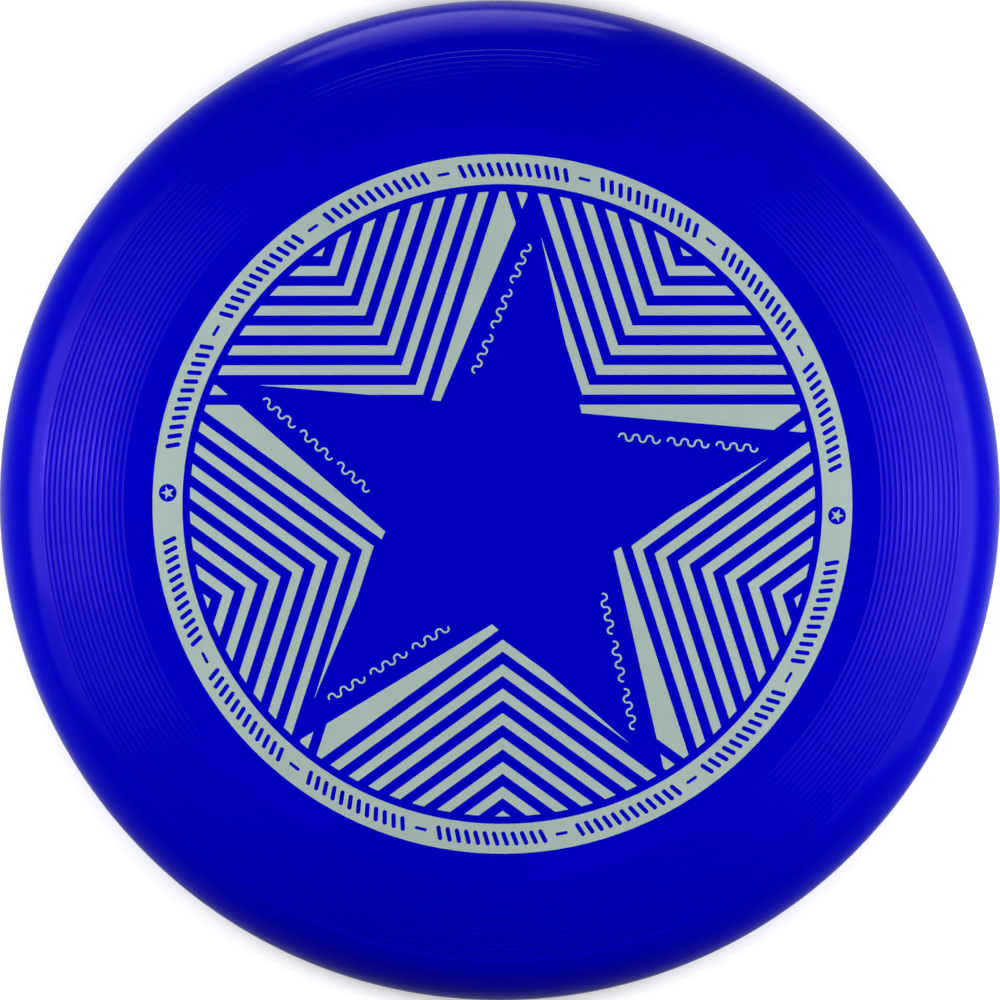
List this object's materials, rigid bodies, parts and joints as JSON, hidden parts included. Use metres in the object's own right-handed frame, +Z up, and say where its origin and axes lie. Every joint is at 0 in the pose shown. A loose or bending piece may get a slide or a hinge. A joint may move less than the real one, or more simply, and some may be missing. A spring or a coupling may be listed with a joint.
{
  "type": "flying disc",
  "caption": "Round moulded flying disc with a flat plate, fine flight rings, a rounded shoulder, a deep hollow rim and a silver star print inside a ring band.",
  "frame": {"origin": "on the disc's axis, level with the bottom of the rim, which the disc rests on", "axes": "+Z up along the disc's axis, out of the printed side; +Y towards the top of the print, where one point of the star is nearly upright; +X to its right"},
  "size_m": [0.2744, 0.2744, 0.0315],
  "materials": {
    "disc_plastic": "satin, lightly scuffed polyethylene, saturated blue",
    "silver_foil": "even matte silver, hot-stamped"
  },
  "bodies": {
    "root": {"disc_body": "disc_plastic", "foil_band": "silver_foil", "foil_band_stars": "silver_foil", "foil_blade_1": "silver_foil", "foil_blade_2": "silver_foil", "foil_blade_3": "silver_foil", "foil_blade_4": "silver_foil", "foil_blade_5": "silver_foil", "foil_chevrons_1": "silver_foil", "foil_chevrons_2": "silver_foil", "foil_chevrons_3": "silver_foil", "foil_chevrons_4": "silver_foil", "foil_chevrons_5": "silver_foil", "foil_wave_1": "silver_foil", "foil_wave_2": "silver_foil", "foil_wave_3": "silver_foil", "foil_wave_4": "silver_foil", "foil_wave_5": "silver_foil"}
  },
  "joints": []
}
